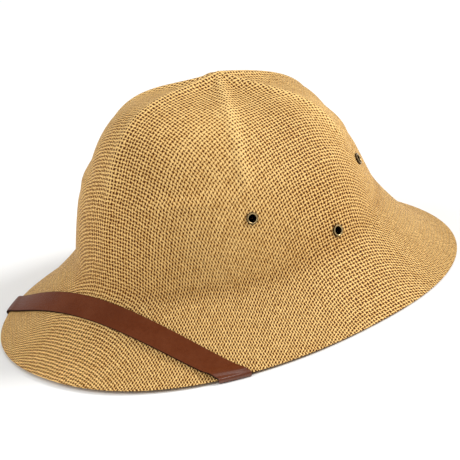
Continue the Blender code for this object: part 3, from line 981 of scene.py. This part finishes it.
@dataclass
class StrawShell:
    """Crown and brim of woven straw, pressed over the block in one piece."""

    block: HelmetBlock
    drape: WeaveDrape
    meridians: int = 300
    crown_rings: int = 92
    cove_rings: int = 8
    brim_rings: int = 34
    inner_share: int = 2
    merge: float = 1e-6
    # Station and reach of the painted shade in the cove.
    cove_shade_middle: float = 1.3
    cove_shade_reach: float = 0.55
    packing_start: Pair = (0.15, 0.5)
    packing_end: Pair = (0.95, 1.5)

    def stations(self) -> Array:
        """Stations from the outer apex to RIM, then from INNER_RIM to INNER_APEX."""
        crown = np.linspace(0.0, FOOT, self.crown_rings)
        cove = np.linspace(FOOT, BRIM, self.cove_rings)[1:]
        brim = np.linspace(BRIM, RIM, self.brim_rings)[1:]
        outer = np.concatenate([crown, cove, brim])
        inner = outer[::-1][:: self.inner_share]
        under = [RIM + 1.0 / 3.0, RIM + 2.0 / 3.0]
        return np.concatenate([outer, under, INNER_APEX - inner[:-1], [INNER_APEX]])

    def build(self, surface: Material, eyelets: Eyelets) -> None:
        """Press the straw over the block and cut the eyelets' holes.

        Args:
            surface: The straw's material.
            eyelets: The eyelets that go through it.
        """
        sheet = bmesh.new()
        theta, ring = spun_disc(sheet, self.stations(), self.meridians)
        inside = np.clip(ring - RIM, 0.0, 1.0)
        station = np.where(ring > RIM, np.where(ring < INNER_RIM, RIM, INNER_APEX - ring), ring)
        shortened = BRIM + (station - BRIM) * (self.block.inner_rim(theta) - BRIM)
        kept = np.where(station > BRIM, shortened, station)
        outer, inner = self.block.outer(theta, station), self.block.inner(theta, kept)
        placed = outer + (inner - outer) * inside[:, None]
        placed[inside > 0.0, 2] = np.maximum(placed[inside > 0.0, 2], 0.0)
        for vertex, point in zip(sheet.verts, placed):
            vertex.co = point
        self.paint(sheet, theta, station + (kept - station) * inside)
        bmesh.ops.remove_doubles(sheet, verts=sheet.verts, dist=self.merge)
        seat = self.block.seat()
        self.punch(finished(sheet, seat, "straw_shell", surface, Slot.STRAW, "shell"), eyelets)

    def paint(self, sheet: BMesh, theta: Array, station: Array) -> None:
        """Write the cove's painted shade, the yarns' packing, the crests' painted highlight with wear
        and the cloth coordinates.

        Args:
            sheet: The pressed mesh.
            theta: Each vertex's angle from the front.
            station: Each vertex's station.
        """
        flat = self.block.plain(theta, station)
        crests = self.block.nearest_crest(theta, flat[..., 0]) * self.block.upper_share(flat[..., 1])
        sheared = 0.5 - 0.5 * np.cos(4.0 * theta)
        packed = ease(station, *self.packing_start) * (1.0 - ease(station, *self.packing_end))
        # The cove's painted shade, the yarns' packing, and the ridge crests' painted highlight with
        # wear.
        masks = {
            "cove_shade": np.exp(-(((station - self.cove_shade_middle) / self.cove_shade_reach) ** 2)),
            "packing": sheared * packed,
            "wear_and_highlight": np.where(station < FOOT, crests, 0.0)}
        for name, values in masks.items():
            layer = sheet.verts.layers.float.new(name)
            for vertex, value in zip(sheet.verts, values):
                vertex[layer] = value
        cloth = self.drape.lay(theta, station)
        sheet.verts.index_update()
        layer = sheet.loops.layers.uv.new("cloth")
        for face in sheet.faces:
            for loop in face.loops:
                loop[layer].uv = cloth[loop.vert.index]

    def punch(self, piece: Object, eyelets: Eyelets) -> None:
        """Cut the eyelets' holes through the wall.

        Args:
            piece: The shell.
            eyelets: The eyelets whose barrels pass through.
        """
        tool = linked("hole_punches", meshed(eyelets.punches(), "hole_punches"))
        cut = piece.modifiers.new("eyelet_holes", "BOOLEAN")
        cut.operation, cut.solver, cut.object = "DIFFERENCE", "EXACT", tool
        bpy.context.view_layer.update()
        graph = bpy.context.evaluated_depsgraph_get()
        pierced = bpy.data.meshes.new_from_object(piece.evaluated_get(graph), depsgraph=graph)
        piece.modifiers.clear()
        piece.data = pierced
        bpy.data.objects.remove(tool)


@dataclass
class BrimStrap:
    """Leather strap laid over the front brim and folded under the rim on both sides."""

    block: HelmetBlock
    width: float = 0.0160
    thickness: float = 0.0015
    gap: float = 0.00035
    middle_share: float = 0.20
    end_angle: float = 43.8
    tail: float = 0.018
    lanes: int = 9
    runs: int = 160
    fold_steps: int = 8
    tail_steps: int = 8
    round_edge: float = 0.0004
    fold_lift: float = 0.0002
    bulge: Pair = (0.0013, 0.0003)
    bulge_from_rim: float = 0.0055
    bulge_reach: float = 0.65
    sheen: Pair = (1.0, 0.3)
    sheen_steps: float = 7.0
    corner_angle: float = 60.0
    before_end: float = 0.98
    probe: float = 0.0008
    halvings: int = 32

    def bend(self) -> Triple:
        """Middle line from above as y = middle + bend * x * x, and its reach in x."""
        foot = self.block.foot[FRONT]
        middle = -(foot + (self.block.brim[FRONT] - foot) * self.middle_share)
        end = math.radians(self.end_angle)
        rim = float(self.block.rim_radius(np.array([end]))[0])
        reach = rim * math.sin(end)
        return middle, (-rim * math.cos(end) - middle) / (reach * reach), reach

    def lane(self, x: Array, offset: float) -> Array:
        """Plan points of one lane.

        Args:
            x: Places along the strap.
            offset: Distance from the strap's middle line.

        Returns:
            Rows of points at height 0.
        """
        middle, bend, reach = self.bend()
        inside = np.clip(x, -reach, reach)
        zero = np.zeros_like(x)
        line = np.stack([inside, middle + bend * inside**2, zero], axis=-1)
        normal = self.block.brim_normal(line)
        slope = 2.0 * bend * inside
        rise = -(normal[:, 0] + normal[:, 1] * slope) / normal[:, 2]
        tangent = np.stack([np.ones_like(x), slope, rise], axis=-1)
        across = unit(np.cross(normal, tangent))
        points = np.stack([x, middle + bend * x**2, zero], axis=-1) + across * offset
        points[:, 2] = 0.0
        return points

    def lane_end(self, offset: float, side: Side) -> float:
        """The x at which one lane crosses the rim."""
        inside, outside = 0.0, side.value * 2.0 * self.bend()[2]
        for _ in range(self.halvings):
            middle = 0.5 * (inside + outside)
            point = self.lane(np.array([middle]), offset)
            radius = float(np.hypot(point[0, 0], point[0, 1]))
            rim = float(self.block.rim_radius(np.arctan2(point[:, 0], -point[:, 1]))[0])
            inside, outside = (middle, outside) if radius < rim else (inside, middle)
        return inside

    def lift(self, distance: Array | float, bulge: float) -> Array:
        """How far the strap stands off the shell at these distances from the rim."""
        near = np.exp(-((distance / (2.0 * self.bulge_from_rim)) ** 2))
        reach = self.bulge_reach * self.bulge_from_rim
        swell = np.exp(-(((distance - self.bulge_from_rim) / reach) ** 2))
        return self.fold_lift * near + bulge * swell

    def fold(self, offset: float, end_x: float) -> list[tuple[Vector, Vector]]:
        """Stations of one lane round the rim and under it.

        Args:
            offset: Distance from the strap's middle line.
            end_x: Where the lane crosses the rim.

        Returns:
            Pairs of foot point and direction away from the shell.
        """
        ends = self.lane(np.array([end_x, end_x * self.before_end]), offset)
        edge, before = (Vector(row) for row in ends)
        heading = (edge - before).normalized()
        slope = Vector(self.block.brim_normal(np.array([edge - heading * self.probe]))[0])
        down = Vector((0.0, 0.0, -1.0))
        flat = Vector((slope.x, slope.y, 0.0)).normalized()
        under = heading - 2.0 * heading.dot(flat) * flat
        rim_width = self.block.wall / math.hypot(slope.x, slope.y)
        inner = edge + under * (rim_width / heading.dot(flat))
        steps = range(self.fold_steps + 1)
        lift = float(self.lift(0.0, self.bulge[0 if end_x > 0.0 else 1])) / (1.0 + slope.z)
        turned = [slope.slerp(down, i / self.fold_steps) for i in steps]
        stations = [(edge + out * (lift * (1.0 + out.z)), out) for out in turned]
        stations += [(inner, down.slerp(-slope, i / self.fold_steps)) for i in steps[:-1]]
        climb = (slope.x * under.x + slope.y * under.y) / slope.z
        level = self.tail / math.hypot(1.0, climb)
        start = inner + slope * self.block.wall
        reach = np.linspace(0.0, level, self.tail_steps + 1)[:, None]
        plan = np.array(start) + np.array(under) * reach
        away = -self.block.brim_normal(plan)
        feet = self.block.brim_surface(plan) + away * self.block.wall
        return stations + [(Vector(foot), Vector(out)) for foot, out in zip(feet, away)]

    def lane_stations(self, offset: float) -> list[tuple[Vector, Vector]]:
        """All stations of one lane, from the right tail over the brim to the left tail."""
        right, left = (self.lane_end(offset, side) for side in (Side.RIGHT, Side.LEFT))
        plan = self.lane(np.linspace(right, left, self.runs + 1)[1:-1], offset)
        feet, away = self.block.brim_surface(plan), self.block.brim_normal(plan)
        near = self.lift(left - plan[:, 0], self.bulge[0])
        far = self.lift(plan[:, 0] - right, self.bulge[1])
        feet = feet + away * (near + far)[:, None]
        over = [(Vector(foot), Vector(out)) for foot, out in zip(feet, away)]
        return self.fold(offset, right)[::-1] + over + self.fold(offset, left)

    def build(self, surface: Material) -> None:
        """Lay a flat strip on the lanes, give it its thickness and round its edges.

        Args:
            surface: The leather's material.
        """
        offsets = 0.5 * self.width * np.sin(np.linspace(-0.5, 0.5, self.lanes) * math.pi)
        lanes = [self.lane_stations(float(offset)) for offset in offsets]
        count = len(lanes[0])
        sheet = bmesh.new()
        cut = sheet.verts.layers.float.new("cut")
        fold = sheet.verts.layers.float.new("fold")
        bmesh.ops.create_grid(sheet, x_segments=count - 1, y_segments=self.lanes - 1, size=1.0)
        folds = self.tail_steps + self.fold_steps
        spots = {}
        for vertex in sheet.verts:
            along = round((vertex.co.x + 1.0) * 0.5 * (count - 1))
            across = round((vertex.co.y + 1.0) * 0.5 * (self.lanes - 1))
            foot, away = lanes[across][along]
            vertex.co = foot + away * (self.gap + self.thickness)
            spots[vertex.co.to_tuple(7)] = (foot, away)
            # Fold mask near both folds, stronger on the wearer's left: it weights a real gloss coat and
            # a paler painted highlight with wear.
            nearest = min(abs(along - folds), abs(along - (count - 1 - folds)))
            sheen = self.sheen[0] if 2 * along > count else self.sheen[1]
            vertex[fold] = sheen * math.exp(-((nearest / self.sheen_steps) ** 2))
            vertex[cut] = 1.0 if across in (0, self.lanes - 1) or along in (0, count - 1) else 0.0
        grown = bmesh.ops.extrude_face_region(sheet, geom=sheet.faces[:], use_keep_orig=True)
        for vertex in (item for item in grown["geom"] if isinstance(item, BMVert)):
            foot, away = spots[vertex.co.to_tuple(7)]
            vertex.co = foot + away * self.gap
        bmesh.ops.recalc_face_normals(sheet, faces=sheet.faces)
        limit = math.radians(self.corner_angle)
        corners = [edge for edge in sheet.edges if edge.calc_face_angle(0.0) > limit]
        bmesh.ops.bevel(sheet, geom=corners, offset=self.round_edge, affect="EDGES", segments=3,
                        profile=0.5, material=-1)
        finished(sheet, self.block.seat(), "strap_leather_band", surface, Slot.LEATHER, "strap")


@dataclass
class Studio:
    """Pale floor, soft lights and the camera at the photograph's angle."""

    azimuth: float = 51.406
    elevation: float = 21.932
    roll: float = -10.369
    distance: float = 2.2
    focal_pixels: float = 3328.0
    centre: Pair = (204.879, 177.952)
    target_height: float = 0.080
    image: float = 460.0
    sensor: float = 36.0
    clip: Pair = (0.05, 60.0)
    floor_size: float = 14.0
    floor_colour: Colour = (0.93, 0.93, 0.92, 1.0)
    floor_roughness: float = 0.9
    lights: tuple[tuple[str, Triple, float, float], ...] = (
        ("key_light", (1.3, 1.7, 1.5), 0.8, 51.0),
        ("fill_light", (-1.2, -2.0, 1.5), 2.4, 34.0),
        ("top_light", (1.6, -0.7, 3.4), 0.8, 20.0))
    light_aim: float = 0.06
    sky_colour: Colour = (1.0, 1.0, 1.0, 1.0)
    sky_strength: float = 0.50

    def camera(self) -> None:
        """Place the camera so that its target shows at its pixel, without any lens shift."""
        data = bpy.data.cameras.new("photo_camera")
        data.sensor_width = self.sensor
        data.lens = self.sensor * self.focal_pixels / self.image
        data.clip_start, data.clip_end = self.clip
        across, down = ((0.5 * self.image - pixel) / self.focal_pixels for pixel in self.centre)
        orbit = Matrix.Translation((0.0, 0.0, self.target_height))
        for degrees, axis in ((self.azimuth, "Z"), (90.0 - self.elevation, "X"), (self.roll, "Z")):
            orbit @= Matrix.Rotation(math.radians(degrees), 4, axis)
        orbit @= Matrix.Translation((0.0, 0.0, self.distance))
        orbit @= Matrix.Rotation(-math.atan(across), 4, "Y")
        orbit @= Matrix.Rotation(-math.atan(down / math.hypot(1.0, across)), 4, "X")
        made = linked("photo_camera", data)
        made.matrix_world = orbit
        bpy.context.scene.camera = made

    def floor(self) -> None:
        """Lay the pale floor."""
        sheet = bmesh.new()
        bmesh.ops.create_grid(sheet, x_segments=1, y_segments=1, size=0.5 * self.floor_size)
        data = meshed(sheet, "floor")
        made, bench, shader = start_material("pale_floor")
        bench.fill(shader, {"Base Color": self.floor_colour, "Roughness": self.floor_roughness})
        data.materials.append(made)
        linked("floor", data)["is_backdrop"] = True

    def build(self) -> None:
        """Make floor, lights, world and camera."""
        self.floor()
        for name, place, size, power in self.lights:
            lamp = bpy.data.lights.new(name, "AREA")
            lamp.shape, lamp.size, lamp.energy = "DISK", size, power
            aim = (Vector((0.0, 0.0, self.light_aim)) - Vector(place)).to_track_quat("-Z", "Y")
            linked(name, lamp).matrix_world = Matrix.Translation(place) @ aim.to_matrix().to_4x4()
        world = bpy.data.worlds.new("studio")
        world.use_nodes = True
        sky = {"Color": self.sky_colour, "Strength": self.sky_strength}
        NodeBench(world.node_tree).fill(world.node_tree.nodes["Background"], sky)
        bpy.context.scene.world = world
        bpy.context.scene.view_settings.view_transform = "Standard"
        self.camera()


def write_sizes() -> None:
    """Gather the CAD's box and the visual model's box as plain lists."""
    boxes = {"cad": CAD_BOX, "visual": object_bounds()}
    rows = {key: [[float(value) for value in corner] for corner in box] for key, box in boxes.items()}


def main() -> None:
    """Build every piece in order."""
    logging.basicConfig(level=logging.INFO, format="%(name)s %(message)s")
    studio = Studio()
    studio.build()
    effects = Effects()
    block = HelmetBlock()
    eyelets = Eyelets(block)
    shell = StrawShell(block, WeaveDrape(block))
    shell.build(StrawFinish().build(effects), eyelets)
    eyelets.build(BrassFinish().build(effects))
    BrimStrap(block).build(LeatherFinish().build(effects))
    write_sizes()


if __name__ == "__main__":
    main()
